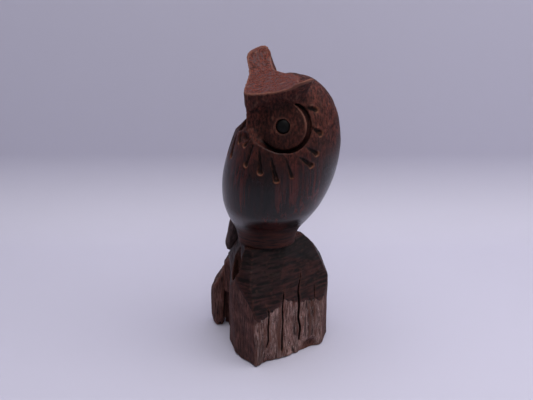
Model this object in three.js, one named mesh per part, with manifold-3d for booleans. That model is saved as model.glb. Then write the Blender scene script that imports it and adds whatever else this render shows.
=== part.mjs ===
// Carved wooden owl on a stump, in millimetres, +Z up, standing on z = 0.
// The stump's front corner faces -Y. The owl's body leans towards +X and its head turns towards -X.
import * as THREE from "three";
import { mergeVertices } from "three/addons/utils/BufferGeometryUtils.js";
import Module from "manifold-3d";

const wasm = await Module();
wasm.setup();

// ---------- Driving dimensions ----------
const GAP = 0.3; // clearance between touching pieces
const SEAM = 92; // height of the joint between figure and stump
const HEAD_TURN = 60; // degrees that the face turns from -Y towards -X
const HEAD_LEAN = 17; // how far the head's axis stands off the collar's axis, along +X

// Body: [half width, height] from the collar up to the crown, rounded off at the top.
const BODY_RINGS = [
  [0, 80], [22, 84], [21.5, 94], [24, 104], [31.5, 117], [37.5, 131],
  [41, 150], [40, 172], [37, 186], [33, 199], [26, 212], [15, 221], [0, 224],
];
const COLLAR_DEPTH = 0.62; // the collar is an oval, this much thinner front to back
const COLLAR_TOP = 98; // it grows round between these two heights
const BELLY_ROUND = 130;

// Head block that the ears and brow are cut from: [height, front, half width, back].
const HEAD_RINGS = [
  [184, 30, 18, 10], [190, 35.5, 22, 9], [203, 36, 24, 8], [213, 36.5, 26.5, 3],
  [222, 36.5, 31, -2], [231, 36, 36, -6], [237, 36, 38, -7],
];
const EAR_FRONT = -13; // the blunt ear ends, front to back in the head's frame
const EAR_BACK = { left: -1, right: 2.5 };
const EAR_BEVEL = { point: [-38, -13, 232.5], normal: [-10, -5, 13] }; // slopes the right ear forward

// Hollow between the ears, seen from the front: [across, height], the owl's right ear first.
const CROWN_SECTION = [
  [-44, 245], [-38, 236.5], [-31, 227.5], [-22, 221], [-8, 218], [8, 218], [27, 222.5], [38, 231], [44, 238],
];
const CROWN_BROW = -36; // where that section lies, front to back
const CROWN_RISE = 9; // degrees that the hollow climbs towards the back of the head

const EYE = { turn: 44, lift: 17, x: 21.4, y: -18.9, z: 196.5, radius: 18 };
const GROOVE = 2.2; // tube radius of the ring cut round each eye disc
const POCKET = { centre: [10.8, -30, 201], radii: [4.8, 8, 12] }; // hollow between beak and eye
const UNDERCUT = { centre: [0, -38.5, 185], radii: [6, 4, 4.5] }; // under the beak
const PUPIL = { radius: 5, depth: 6, proud: 0.6 };

// Feather gouges round each eye: angle in the disc's plane, 0 pointing away from the beak.
const GOUGE_ANGLES = [32, -1, -31, -52, -76, -100, -122, -144];
const GOUGE_REACH = [22, 35]; // nearest and farthest point from the eye's centre
const GOUGE_WIDTH = 3.4;

const SEGMENTS = { round: 32, head: 40, body: 48 }; // facets round each turned shape

const DOWEL = { radius: 6, length: 40 };
const TAIL = { heading: -137, out: 41, top: 126, bottom: 68, thick: 8, wide: 20, lean: 17, taper: 2.2 };

// Stump faces: [heading, distance from the axis, spread outwards per mm of height].
const STUMP_SIDES = [
  [-48, 32, 0], [31, 28, 0], [76, 45, 0.05], [114, 50, 0], [158, 48, -0.04],
  [190, 44, 0], [232, 40, 0], [-83, 29, 0],
];
// Chiselled shoulders: [heading, distance from the axis at the seam, spread outwards per mm down].
const SHOULDERS = [
  [-22, 20.4, 0.467], [6, 13.5, 0.81], [30.6, 12.2, 0.46], [90, 29, 0.9], [94, 33, 0.47],
  [128, 30, 0.8], [165, 22, 0.8], [205, 22, 0.7], [243, 23, 0.6], [-80, 18, 0.42],
];
const FIN = {
  plan: [[-12, 0], [-34.5, 18], [-34.5, 27], [-12, 14]], ridge: [-22.6, 83], fall: 1.95, foot: 36,
};
const WEB = { plan: [[-12, 6], [-34.5, 27], [-34.5, 34], [-12, 20]], top: 48 }; // carries the spur
const RECESS = { centre: [-21, -9, 82], radii: [4.5, 9, 13] }; // notch between fin and shoulder
const FOOT_HOLLOW = { centre: [38, -15, 4], radii: [9, 8, 8] };

const SPUR = {
  plan: [[0, 22], [3.2, 19.5], [8.2, 20.5], [11.7, 26], [11.2, 33], [6.2, 37], [0, 34]], // out from the web
  top: 53,
  fall: 1.83, // its end drops this much per mm outwards
};

// ---------- Solids ----------
function toSolid(geometry) {
  const bare = geometry.clone();
  bare.deleteAttribute("normal");
  bare.deleteAttribute("uv");
  const merged = mergeVertices(bare, 1e-4);
  const mesh = new wasm.Mesh({
    numProp: 3,
    vertProperties: new Float32Array(merged.attributes.position.array),
    triVerts: new Uint32Array(merged.index.array),
  });
  return new wasm.Manifold(mesh);
}

function toGeometry(solid) {
  const mesh = solid.getMesh();
  const geometry = new THREE.BufferGeometry();
  geometry.setAttribute("position", new THREE.BufferAttribute(mesh.vertProperties, 3));
  geometry.setIndex(new THREE.BufferAttribute(mesh.triVerts, 1));
  const flat = geometry.toNonIndexed();
  flat.computeVertexNormals();
  return flat;
}

// Closed skin over a lathe's grid: place(u, v) gives the point at angle 2*pi*u and level v.
// Both ends close in a single point.
function skin(place, around, along) {
  const profile = [];
  for (let j = 0; j <= along; j += 1) {
    const atEnd = j === 0 || j === along;
    profile.push(new THREE.Vector2(atEnd ? 0 : 1, j));
  }
  const geometry = new THREE.LatheGeometry(profile, around);
  const { position, uv } = geometry.attributes;
  for (let k = 0; k < position.count; k += 1) {
    const point = place(uv.getX(k) % 1, uv.getY(k));
    position.setXYZ(k, point.x, point.y, point.z);
  }
  return geometry;
}

function ellipsoid({ centre, radii }) {
  const geometry = new THREE.SphereGeometry(1, 16, 10);
  return toSolid(geometry.scale(...radii).translate(...centre));
}

function mirrored({ centre, radii }) {
  return { centre: [-centre[0], centre[1], centre[2]], radii };
}

// Turns a shape made along +Z so that it lies along the direction.
function along(geometry, direction) {
  const turn = new THREE.Quaternion();
  turn.setFromUnitVectors(new THREE.Vector3(0, 0, 1), direction.clone().normalize());
  return geometry.applyQuaternion(turn);
}

// Upright round bar centred on the origin.
function bar(radius, length) {
  return new THREE.CylinderGeometry(radius, radius, length, SEGMENTS.round).rotateX(Math.PI / 2);
}

// Box that keeps out everything beyond a plane: the plane passes `point`, facing `normal`.
function beyond(point, normal, reach = 300) {
  const geometry = new THREE.BoxGeometry(reach, reach, reach).translate(0, 0, reach / 2);
  return toSolid(along(geometry, normal).translate(point.x, point.y, point.z));
}

function add(solids) {
  return solids.reduce((sum, solid) => sum.add(solid));
}

function cut(solid, tools) {
  return tools.reduce((rest, tool) => rest.subtract(tool), solid);
}

function radians(degrees) {
  return THREE.MathUtils.degToRad(degrees);
}

// Horizontal unit vector; 0 degrees is -Y, 90 degrees is +X.
function heading(degrees, lift = 0) {
  const level = Math.cos(radians(lift));
  return new THREE.Vector3(
    Math.sin(radians(degrees)) * level, -Math.cos(radians(degrees)) * level, Math.sin(radians(lift)),
  );
}

function dowelSocket() {
  return toSolid(bar(DOWEL.radius + GAP, DOWEL.length + 2 * GAP).translate(0, 0, SEAM));
}

// ---------- Owl ----------
const bodyCurve = new THREE.CatmullRomCurve3(
  BODY_RINGS.map(([radius, height]) => new THREE.Vector3(radius, height, 0)), false, "centripetal",
);

// The axis leans along +X, most between the collar and the shoulders.
function axisShift(height) {
  return HEAD_LEAN * THREE.MathUtils.smoothstep(height, SEAM, 204);
}

function bodyPoint(u, v) {
  const ring = bodyCurve.getPoint(v);
  const radius = Math.max(ring.x, 0);
  const angle = 2 * Math.PI * u;
  const roundness = THREE.MathUtils.smoothstep(ring.y, COLLAR_TOP, BELLY_ROUND);
  const depth = THREE.MathUtils.lerp(COLLAR_DEPTH, 1, roundness);
  return new THREE.Vector3(
    axisShift(ring.y) + radius * Math.cos(angle), depth * radius * Math.sin(angle), ring.y,
  );
}

// One level of the head block: a rounded wedge with its point at the brow and blunt ends at the ears.
function headOutline(front, halfWidth, back) {
  const half = (earBack) => [
    [halfWidth * 0.66, -front * 0.65], [halfWidth, EAR_FRONT],
    [halfWidth * 0.9, earBack], [halfWidth * 0.6, back],
  ];
  const right = half(EAR_BACK.right).map(([x, y]) => [-x, y]);
  const points = [[0, -front], ...half(EAR_BACK.left), [0, back + 4], ...right.reverse()];
  const corners = points.map(([x, y]) => new THREE.Vector3(x, y, 0));
  return new THREE.CatmullRomCurve3(corners, true, "centripetal");
}

function headBlock() {
  const outlines = HEAD_RINGS.map(([, front, halfWidth, back]) => headOutline(front, halfWidth, back));
  const last = HEAD_RINGS.length - 1;
  const levels = last + 2;
  const place = (u, v) => {
    const level = Math.round(v * levels) - 1;
    if (level < 0 || level > last) {
      return new THREE.Vector3(0, -6, HEAD_RINGS[level < 0 ? 0 : last][0]);
    }
    const point = outlines[level].getPointAt(u);
    point.z = HEAD_RINGS[level][0];
    return point;
  };
  return toSolid(skin(place, SEGMENTS.head, levels));
}

// Everything above the hollow's section, run back along the head.
function crownCutter() {
  const floor = CROWN_SECTION[Math.floor(CROWN_SECTION.length / 2)][1];
  const corners = CROWN_SECTION.map(([x, z]) => new THREE.Vector3(x, z - floor, 0));
  const curve = new THREE.CatmullRomCurve3(corners, false, "centripetal").getPoints(32);
  const shape = new THREE.Shape(curve.map(({ x, y }) => new THREE.Vector2(x, y)));
  const geometry = new THREE.ExtrudeGeometry(shape, { depth: 140, bevelEnabled: false });
  geometry.translate(0, 0, -120).rotateX(Math.PI / 2 + radians(CROWN_RISE));
  return toSolid(geometry.translate(0, CROWN_BROW, floor));
}

// Places a tool, made with its axis on +Z, at an eye disc; side 1 is the owl's left eye, -1 its right.
function atEye(geometry, side) {
  return along(geometry, heading(side * EYE.turn, EYE.lift)).translate(side * EYE.x, EYE.y, EYE.z);
}

function eyeCutters(side) {
  const clear = EYE.radius;
  const flat = bar(EYE.radius, clear).translate(0, 0, clear / 2);
  const ring = new THREE.TorusGeometry(EYE.radius, GROOVE, 8, SEGMENTS.round);
  const socket = bar(PUPIL.radius + GAP, 2 * PUPIL.depth);
  const cutters = [flat, ring, socket].map((geometry) => toSolid(atEye(geometry, side)));
  return [...cutters, ellipsoid(side > 0 ? POCKET : mirrored(POCKET))];
}

function bodyRadiusAt(height) {
  let low = 0;
  let high = 1;
  for (let step = 0; step < 30; step += 1) {
    const middle = (low + high) / 2;
    if (bodyCurve.getPoint(middle).y < height) low = middle;
    else high = middle;
  }
  return bodyCurve.getPoint(low).x;
}

// Point of the body's skin, in the head's frame, on the same heading and height as the given point.
function onBody(point) {
  const radius = bodyRadiusAt(point.z);
  const axis = heading(HEAD_TURN + 90).multiplyScalar(axisShift(point.z) - HEAD_LEAN);
  const level = Math.hypot(point.x - axis.x, point.y - axis.y);
  const scale = radius / level;
  return new THREE.Vector3(
    axis.x + (point.x - axis.x) * scale, axis.y + (point.y - axis.y) * scale, point.z,
  );
}

function gouge(start, end) {
  const run = end.clone().sub(start);
  const middle = start.clone().add(end).multiplyScalar(0.5);
  const geometry = new THREE.SphereGeometry(1, 10, 6);
  geometry.scale(GOUGE_WIDTH / 2, GOUGE_WIDTH / 2, run.length() / 2);
  return toSolid(along(geometry, run).translate(middle.x, middle.y, middle.z));
}

function gouges(side) {
  return GOUGE_ANGLES.map((angle) => {
    const [start, end] = GOUGE_REACH.map((reach) => {
      const mark = new THREE.Object3D();
      mark.position.set(side * reach * Math.cos(radians(angle)), reach * Math.sin(radians(angle)), 0);
      mark.position.applyEuler(new THREE.Euler(Math.PI / 2, 0, 0));
      mark.position.applyEuler(new THREE.Euler(radians(-EYE.lift), 0, 0));
      mark.position.applyEuler(new THREE.Euler(0, 0, radians(side * EYE.turn)));
      return onBody(mark.position.add(new THREE.Vector3(side * EYE.x, EYE.y, EYE.z)));
    });
    return gouge(start, end);
  });
}

function owlFigure() {
  const body = toSolid(skin(bodyPoint, SEGMENTS.body, 34));
  const toHead = new THREE.Matrix4().makeRotationZ(radians(-HEAD_TURN)).setPosition(HEAD_LEAN, 0, 0);
  const inHead = (solid) => solid.transform(toHead.toArray());
  const headTools = [crownCutter(), ...eyeCutters(1), ...eyeCutters(-1), ...gouges(1), ...gouges(-1)];
  const bevel = beyond(new THREE.Vector3(...EAR_BEVEL.point), new THREE.Vector3(...EAR_BEVEL.normal));
  const tools = [...headTools, ellipsoid(UNDERCUT), bevel].map(inHead);
  tools.push(beyond(new THREE.Vector3(0, 0, SEAM), new THREE.Vector3(0, 0, -1)), dowelSocket());
  return cut(add([body, inHead(headBlock())]), tools);
}

function pupil(side) {
  const { radius, proud } = PUPIL;
  const back = GAP - PUPIL.depth;
  const profile = [[0, back], [radius, back], [radius, 0], [radius * 0.7, proud], [0, proud]];
  const geometry = new THREE.LatheGeometry(profile.map(([x, y]) => new THREE.Vector2(x, y)), 24);
  return atEye(geometry.rotateX(Math.PI / 2), side).rotateZ(radians(-HEAD_TURN)).translate(HEAD_LEAN, 0, 0);
}

// Flattened tongue that hangs from the belly on the side away from the lean.
function tail(neighbours) {
  const height = TAIL.top - TAIL.bottom;
  const place = (u, v) => {
    const angle = 2 * Math.PI * u;
    const swell = v === 1 ? 0 : Math.sqrt(Math.sin(Math.PI / 2 * Math.min(1, TAIL.taper * v)));
    const across = swell * TAIL.wide / 2 * Math.cos(angle);
    const inward = swell * TAIL.thick / 2 * Math.sin(angle) + TAIL.lean * v;
    return new THREE.Vector3(across, inward, TAIL.bottom + height * v);
  };
  const geometry = skin(place, 20, 14).rotateZ(radians(TAIL.heading));
  const middle = heading(TAIL.heading).multiplyScalar(TAIL.out);
  return toSolid(geometry.translate(middle.x, middle.y, 0)).subtract(grown(neighbours));
}

// The same solid, pushed out by about the clearance in six directions.
function grown(solid) {
  const steps = [[GAP, 0, 0], [-GAP, 0, 0], [0, GAP, 0], [0, -GAP, 0], [0, 0, GAP], [0, 0, -GAP]];
  return add(steps.map((step) => solid.translate(step)));
}

// ---------- Stump ----------
function log() {
  const block = new THREE.BoxGeometry(200, 200, SEAM - GAP).translate(0, 0, (SEAM - GAP) / 2);
  const sides = STUMP_SIDES.map(([degrees, distance, spread]) => {
    const outward = heading(degrees);
    const normal = outward.clone();
    normal.z = -spread;
    return beyond(outward.multiplyScalar(distance), normal);
  });
  const shoulders = SHOULDERS.map(([degrees, distance, spread]) => {
    const outward = heading(degrees);
    const normal = outward.clone();
    normal.z = spread;
    return beyond(outward.multiplyScalar(distance).setZ(SEAM), normal);
  });
  return cut(toSolid(block), sides.concat(shoulders));
}

// Upright slab from plan points, cut to height by an outline seen along the slab.
function slab(plan, height) {
  const shape = new THREE.Shape(plan.map(([x, y]) => new THREE.Vector2(x, y)));
  return toSolid(new THREE.ExtrudeGeometry(shape, { depth: height, bevelEnabled: false }));
}

function stumpBase() {
  const [ridgeX, ridgeZ] = FIN.ridge;
  const finTop = beyond(new THREE.Vector3(ridgeX, 0, ridgeZ), new THREE.Vector3(-FIN.fall, 0, 1));
  const finFoot = beyond(new THREE.Vector3(0, 0, FIN.foot), new THREE.Vector3(0, 0, -1));
  const fin = cut(slab(FIN.plan, SEAM - GAP), [finTop, finFoot]);
  const solid = add([log(), fin, slab(WEB.plan, WEB.top)]);
  return cut(solid, [ellipsoid(RECESS), ellipsoid(FOOT_HOLLOW), dowelSocket()]);
}

function rootSpur() {
  const inner = Math.min(...WEB.plan.map(([x]) => x)) - GAP;
  const top = beyond(new THREE.Vector3(inner, 0, SPUR.top), new THREE.Vector3(-SPUR.fall, 0, 1));
  return slab(SPUR.plan.map(([out, y]) => [inner - out, y]), SPUR.top).subtract(top);
}

// ---------- Assembly ----------
// Colour and roughness.
const WOOD = {
  polished: [0x2a1511, 0.32], raw: [0x3a2c26, 0.85], bark: [0x55433a, 0.9], dark: [0x0c0a0a, 0.4],
};

function piece(name, geometry, [color, roughness]) {
  const material = new THREE.MeshStandardMaterial({ color, roughness, metalness: 0 });
  const mesh = new THREE.Mesh(geometry, material);
  mesh.name = name;
  return mesh;
}

const figure = owlFigure();
const stump = stumpBase();
const dowel = bar(DOWEL.radius, DOWEL.length);

const figurine = new THREE.Group();
figurine.add(
  piece("owl_figure", toGeometry(figure), WOOD.polished),
  piece("tail", toGeometry(tail(figure.add(stump))), WOOD.raw),
  piece("pupil_left", pupil(1), WOOD.dark),
  piece("pupil_right", pupil(-1), WOOD.dark),
  piece("neck_dowel", dowel.translate(0, 0, SEAM), WOOD.raw),
  piece("stump_base", toGeometry(stump), WOOD.bark),
  piece("root_spur", toGeometry(rootSpur()), WOOD.bark),
);

// The origin is the middle of the whole object's footprint.
const bounds = new THREE.Box3().setFromObject(figurine);
const centre = bounds.getCenter(new THREE.Vector3());
figurine.position.set(-centre.x, -centre.y, -bounds.min.z);

export default figurine;
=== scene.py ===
# Looks of the carved wooden owl on its stump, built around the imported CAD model.
import math

import bpy
import numpy as np
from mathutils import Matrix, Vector


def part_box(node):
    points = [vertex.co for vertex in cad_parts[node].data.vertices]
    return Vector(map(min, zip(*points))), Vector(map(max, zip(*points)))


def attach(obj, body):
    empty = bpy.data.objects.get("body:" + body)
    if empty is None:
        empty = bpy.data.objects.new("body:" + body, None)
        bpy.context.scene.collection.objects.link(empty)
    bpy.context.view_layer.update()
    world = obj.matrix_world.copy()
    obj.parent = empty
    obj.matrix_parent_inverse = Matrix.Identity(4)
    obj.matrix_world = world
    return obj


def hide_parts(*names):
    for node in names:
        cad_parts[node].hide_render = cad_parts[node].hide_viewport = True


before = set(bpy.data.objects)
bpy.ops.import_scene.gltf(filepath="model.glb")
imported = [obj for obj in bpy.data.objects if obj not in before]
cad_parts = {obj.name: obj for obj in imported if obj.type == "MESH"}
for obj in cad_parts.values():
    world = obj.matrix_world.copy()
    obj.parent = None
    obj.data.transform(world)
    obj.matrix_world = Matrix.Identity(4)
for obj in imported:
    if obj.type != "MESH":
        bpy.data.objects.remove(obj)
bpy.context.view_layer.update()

MM = 0.001

# ---------- Places taken from the frame, in millimetres ----------
# The pieces are shaped in "carver's" coordinates: millimetres, with the collar's axis at x = y = 0.


def box_mm(node):
    low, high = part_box(node)
    return np.array(low) / MM, np.array(high) / MM


_dowel_low, _dowel_high = box_mm("neck_dowel")
AXIS = np.array([(_dowel_low[0] + _dowel_high[0]) / 2, (_dowel_low[1] + _dowel_high[1]) / 2, 0.0])
SEAM = box_mm("owl_figure")[0][2]
TAIL_LOW, TAIL_HIGH = (corner - AXIS for corner in box_mm("tail"))
SPUR_LOW, SPUR_HIGH = (corner - AXIS for corner in box_mm("root_spur"))

# ---------- Driving dimensions, in millimetres and degrees ----------
GAP = 0.3               # clearance between touching pieces

# Owl: body and head
HEAD_TURN = 60          # the face turns from -Y towards -X
HEAD_LEAN = 17          # the head's axis stands off the collar's axis, along +X
LEAN_TOP = 204          # height where the body's axis has reached the head's
BODY_RINGS = [          # half width and height, from under the collar to the top of the head
    (0, 80), (22, 84), (21.5, 94), (24, 104), (31.5, 117), (37.5, 131),
    (41, 150), (40, 172), (37, 186), (33, 199), (26, 212), (15, 221), (0, 224),
]
COLLAR_DEPTH = 0.62     # the collar is an oval, this much thinner front to back
COLLAR_TOP = 98         # it grows round between these two heights
BELLY_ROUND = 130
HEAD_RINGS = np.array([  # height, front, half width, back
    (184, 30, 18, 10), (190, 35.5, 22, 9), (203, 36, 24, 8), (213, 36.5, 25, 3),
    (222, 36.5, 28.5, -2), (231, 36, 36, -6), (237, 36, 38, -7),
])
CHEEK_OUT, CHEEK_FRONT = 0.66, 0.65             # the outline's corners, as shares of half width and front
EAR_BACK_OUT, NAPE_OUT = 0.9, 0.6
NAPE_BULGE = 4
EAR_FRONT = -13
EAR_BACK = {1: -1, -1: 2.5}                     # 1 is the owl's left, -1 its right
EAR_BEVEL = ((-38, -13, 232.5), (-10, -6, 13))  # slopes the right ear's front down: point, normal
CROWN_SECTION = [       # hollow between the ears, seen from the front: across, height
    (-44, 245), (-38, 236.5), (-31, 227.5), (-22, 221), (-8, 218),
    (8, 218), (27, 222.5), (38, 231), (44, 238),
]
CROWN_BROW = -36        # where that section lies, front to back
CROWN_RISE = 0.158      # climb towards the back of the head, per mm

# Owl: eyes, beak and gouges
EYE = {"turn": 44, "lift": 17, "radius": 18, "dome": 1.6}
VALLEY = {              # the face sinks from the disc towards the beak
    "start": 8, "soft": 4, "level_out": 6, "slope": 0.4, "stretch": 0.55,
}
GROOVE_DEEPEST = -38    # angle in the disc's plane
GROOVE_FADE = (-0.62, 0.2)                      # gone and full, by the cosine of the angle from there
GROOVE = {"out": 0.2, "sunk": 0.3, "half": (0.3, 1.7), "deep": (0.4, 4.2)}      # each faded and full
PUPIL = {"radius": 5.0, "sink": 2.55, "proud": 0.6, "dome": 0.9, "back": 5.7}   # sink: disc to its middle
PUPIL_SOCKET = {"radius": PUPIL["radius"] + 0.25, "depth": 6}
BEAK = {
    "front": 36.4, "back": 20, "top": 216, "tip": 189.5, "flare": 50,
    "tip_half": 4.8, "spread": 2.2, "rake": 0.2,
}
UNDERCUT = ((0, -38.5, 185.5), (5, 3.5, 3.0))
GOUGES = [              # start and end angle in the disc's plane, start and end reach, width
    (39, 21, 21.5, 32, 3.6), (0, -8, 22.5, 35, 4.0), (-35, -31, 22.5, 36, 3.6),
    (-56, -46, 23.5, 37, 3.8), (-79, -75, 20.5, 35, 2.4), (-104, -92, 21, 36.5, 3.6),
    (-126, -111, 22, 34, 4.0), (-142, -130, 24, 38, 3.6), (-160, -150, 22, 33, 3.2),
]
GOUGE_RADII = (0.20, 0.54)      # at the start and the end, as shares of the width
GOUGE_END_HIGHLIGHT = {"along": (0.85, 1.1), "reach": (0.55, 0.8)}    # painted highlight on the lip at each gouge's far end: shares of the length and the width

# Owl: heights between which a finish comes in
KNIFE_CUT_FROM = (172, 196)
MATTE_FROM = (152, 198)
# convex edges get wear with a painted highlight from these heights up
WEAR_AND_HIGHLIGHT_FROM = (182, 204)
EARS_ROUNDED_FROM = (228, 235)
COLLAR_UP_TO = (103, 116)

# Tail
TAIL = {"heading": -137, "out": 41, "thick": 8, "wide": 20, "lean": 17, "taper": 2.6, "fullness": 0.4}

# Stump
STUMP_SIDES = [         # heading, distance from the axis, spread outwards per mm of height
    (-48, 32, 0), (31, 28, 0), (76, 45, 0.05), (114, 50, 0), (158, 48, -0.04),
    (190, 44, 0), (232, 40, 0), (-83, 29, 0),
]
FRONT_HEADING = STUMP_SIDES[1][0]
FRONT_OUT = STUMP_SIDES[1][1]
FRONT_FROM = {"out": (25, 27), "across": (-9, -7)}      # where its weathering comes in
SHOULDERS = [           # heading, distance from the axis at the seam, spread outwards per mm down
    (-22, 20.4, 0.467), (6, 13.5, 0.81), (30.6, 12.2, 0.46), (90, 29, 0.9), (94, 33, 0.47),
    (128, 30, 0.8), (165, 22, 0.8), (205, 22, 0.7), (243, 23, 0.6), (-80, 18, 0.42),
]
FACETS_AT = {"headings": range(-40, 75, 13), "down": (7, 18, 29)}       # down from the seam
FACET_SPREAD = {"turn": 4, "tilt": 10, "slant": 0.12}   # random part: degrees, degrees, per mm down
FACET_DEPTHS = (0.4, 1.2)
FACET_SEED = 4
CRACKS = [              # across, foot, top, mouth width, depth; on the stump's front
    (0.5, 10, 56, 1.3, 6), (12, 2, 66, 1.5, 7), (25, 6, 78, 1.9, 10), (38.5, 36, 66, 1.2, 5),
]
CRACK_WANDER = {"reach": 1.5, "length": 11, "seed": 40}
CRACK_ENDS = {"foot": 8, "top": 10, "closed": 0.4}      # opens over these lengths; shut this tightly
RECESS = ((-22, -9, 79), (3.6, 10, 18))         # notch between fin and shoulder
FOOT_HOLLOW = ((38, -15, 4), (9, 8, 8))
RAGGED = {"stump": 0.9, "spur": 0.4, "inwards": 4}      # broken lower edge: mean height, how far in
SIDE_FIBRES = 0.2       # the grain's relief beside the front, as a share of the front's
DOWEL_SOCKET = {"radius": 6.3, "depth": 20.3}
FIN = {
    "plan": [(-12, 0), (-34.5, 18), (-34.5, 27), (-12, 14)],
    "ridge": (-22.6, 83), "fall": 1.95, "foot": 36,
}
WEB = {"plan": [(-12, 6), (-34.5, 27), (-34.5, 34), (-12, 20)], "top": 48}      # carries the spur
SPUR_PLAN = [(1.12, 0.14), (0.73, -0.02), (0.3, 0.04), (0, 0.37), (0.04, 0.77), (0.47, 1), (1.12, 0.83)]
SPUR_FALL = 22 / 12     # the top falls this much per mm outwards
SPUR_TUCK = {"in": 2.2, "height": 9}            # the foot narrows
SPUR_WEATHERING = 0.12  # as a share of the front's

# Relief in layers of noise: height, grain length along each axis, seed
KNIFE_RELIEF = [(0.3, (4, 4, 6), 3), (0.16, (1.7, 1.7, 2.8), 4)]
CROWN_RELIEF = [(0.4, (4, 14, 9), 5), (0.22, (1.8, 5, 3), 6)]
MATTE_EDGE = [(9, (9, 9, 14), 7)]
GOUGE_RELIEF = [(0.3, (2.2, 2.2, 2.2), 8)]
TAIL_RELIEF = [(0.3, (1.6, 1.6, 22), 11)]
FIBRE_RELIEF = [(0.8, (5, 5, 70), 22), (0.5, (2.0, 2.0, 26), 21), (0.22, (1.1, 1.1, 7), 26)]
FRONT_EDGE = [(3, (5, 5, 12), 36)]
SIDE_WAVES = [(1.3, (15, 15, 26), 18), (0.7, (7, 7, 12), 19)]
SCALLOPS = [(0.5, (6, 6, 5), 17)]
CHISEL_EDGE = [(0.4, (2, 2, 9), 37)]
CHISEL_RELIEF = [(0.16, (1.6, 9, 1.6), 27)]
STUMP_FOOT = [(0.9, (4, 4, 400), 24)]
SPUR_FOOT = [(0.6, (4, 4, 400), 34)]
SPUR_TOP = [(0.5, (3, 3, 3), 33)]
WEB_RELIEF = [(0.25, (3, 3, 18), 28)]
RECESS_RELIEF = [(0.6, (3, 3, 12), 29)]
FIN_RELIEF = [(0.35, (2.4, 2.4, 18), 25)]
SPUR_RELIEF = [(0.5, (1.6, 1.6, 26), 31), (0.4, (4, 4, 40), 32)]

# Edges: bends per mm at which wear with a painted highlight (outer edges) and painted shade (inner edges)
# begin and are full
WEAR_AND_HIGHLIGHT_BEND = (0.12, 0.7)
CREVICE_SHADE_BEND = (0.1, 0.7)

# How softly surfaces meet
BLEND = {
    "neck": 4, "disc": 0.8, "fading_disc": 2.0, "floor": 1, "fading_floor": 7, "beak": 0.8,
    "undercut": 2, "groove": 0.5, "gouge": 0.5, "bevel": 2, "crown": 0.7, "ears": 2.5, "pupil": 0.7,
    "sides": 2.5, "shoulders": 0.8, "shoulder_rim": 0.6, "slab": 0.8, "fin_top": 0.6, "log": 1.0,
    "notch": 0.6, "crack": 0.4, "foot_hollow": 1.5, "foot": 0.5, "spur": 1.5, "spur_top": 2,
}

# How far a surface is set in to make room for its relief
SUNK = {"tail": -0.1, "sides": 1.0, "chisel": -0.2, "web": 0.3, "fin": 0.4, "spur": 0.6}

# Meshes
OWL_STEP = 0.85         # voxel sizes
STUMP_STEP = 0.7
SMALL_STEP = 0.6
PUPIL_STEP = 0.4
MARGIN = 3              # round the CAD part's box

# ---------- Fields: signed distances in millimetres, negative inside ----------


def heading(degrees):
    """Horizontal unit vector; 0 is -Y and 90 is +X."""
    return np.array([math.sin(math.radians(degrees)), -math.cos(math.radians(degrees)), 0.0])


def smooth_min(a, b, blend):
    share = np.clip(0.5 + 0.5 * (b - a) / blend, 0, 1)
    return b * (1 - share) + a * share - blend * share * (1 - share)


def smooth_max(a, b, blend):
    return -smooth_min(-a, -b, blend)


def ramp(value, start, end):
    share = np.clip((value - start) / (end - start), 0, 1)
    return share * share * (3 - 2 * share)


def lattice(cells, seed):
    """Repeatable pseudo-random value in -1..1 for each integer cell."""
    c = cells.astype(np.int64)
    h = c[:, 0] * 374761393 + c[:, 1] * 668265263 + c[:, 2] * 1440662683 + seed * 974634777
    h = (h ^ (h >> 13)) * 1274126177
    h = (h ^ (h >> 16)) & 0xFFFFFF
    return h.astype(np.float32) / 0x7FFFFF - 1


def noise(points, size, seed):
    """Smooth value noise in -1..1; size is the grain's length along each axis."""
    q = points / np.asarray(size, dtype=np.float32)
    base = np.floor(q)
    f = q - base
    f = f * f * (3 - 2 * f)
    total = 0
    for dx in (0, 1):
        for dy in (0, 1):
            for dz in (0, 1):
                weight = (f[:, 0] if dx else 1 - f[:, 0]) * (f[:, 1] if dy else 1 - f[:, 1])
                weight = weight * (f[:, 2] if dz else 1 - f[:, 2])
                total = total + weight * lattice(base + (dx, dy, dz), seed)
    return total


def relief(points, layers):
    """Sum of layers of noise, in mm."""
    return sum(height * noise(points, size, seed) for height, size, seed in layers)


def ellipsoid(points, centre, radii):
    q = (points - np.asarray(centre)) / np.asarray(radii, dtype=np.float32)
    return (np.sqrt((q * q).sum(1)) - 1) * min(radii)


def drop(points, start, end, start_radius, end_radius):
    """Gouge cut: a rod from start to end whose radius grows along it."""
    along = end - start
    share = np.clip((points - start) @ along / (along @ along), 0, 1)
    gap = np.linalg.norm(points - start - share[:, None] * along, axis=1)
    return gap - (start_radius + (end_radius - start_radius) * share)


# ---------- Field to mesh ----------
FAR = 99.0              # stands for "nowhere near", in mm
BLOCK = 8               # cells along a block's edge
BLOCK_REACH = 1.0875    # a block farther from the surface than this many sizes plus the margin is skipped
BLOCK_MARGIN = 3
SLOPE_STEP = 0.15       # for a field's slope, in mm


def sample(field, low, high, step):
    """Field values on a grid; only blocks near the surface are worked out in full."""
    blocks = np.ceil((high - low) / (step * BLOCK)).astype(int)
    size = step * BLOCK
    axes = [low[k] + (np.arange(blocks[k]) + 0.5) * size for k in range(3)]
    centres = np.stack(np.meshgrid(*axes, indexing="ij"), -1).reshape(-1, 3).astype(np.float32)
    rough = field(centres)
    near = np.abs(rough) < size * BLOCK_REACH + BLOCK_MARGIN
    values = np.where(rough < 0, -FAR, FAR).astype(np.float32)
    values = values.repeat(BLOCK ** 3).reshape(-1, BLOCK, BLOCK, BLOCK)
    corner = (np.indices((BLOCK,) * 3).reshape(3, -1).T + 0.5) * step - size / 2
    points = (centres[near][:, None, :] + corner[None]).reshape(-1, 3).astype(np.float32)
    values[near] = field(points).reshape(-1, BLOCK, BLOCK, BLOCK)
    grid = values.reshape(*blocks, BLOCK, BLOCK, BLOCK).transpose(0, 3, 1, 4, 2, 5)
    return grid.reshape(blocks * BLOCK), low + 0.5 * step


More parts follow.
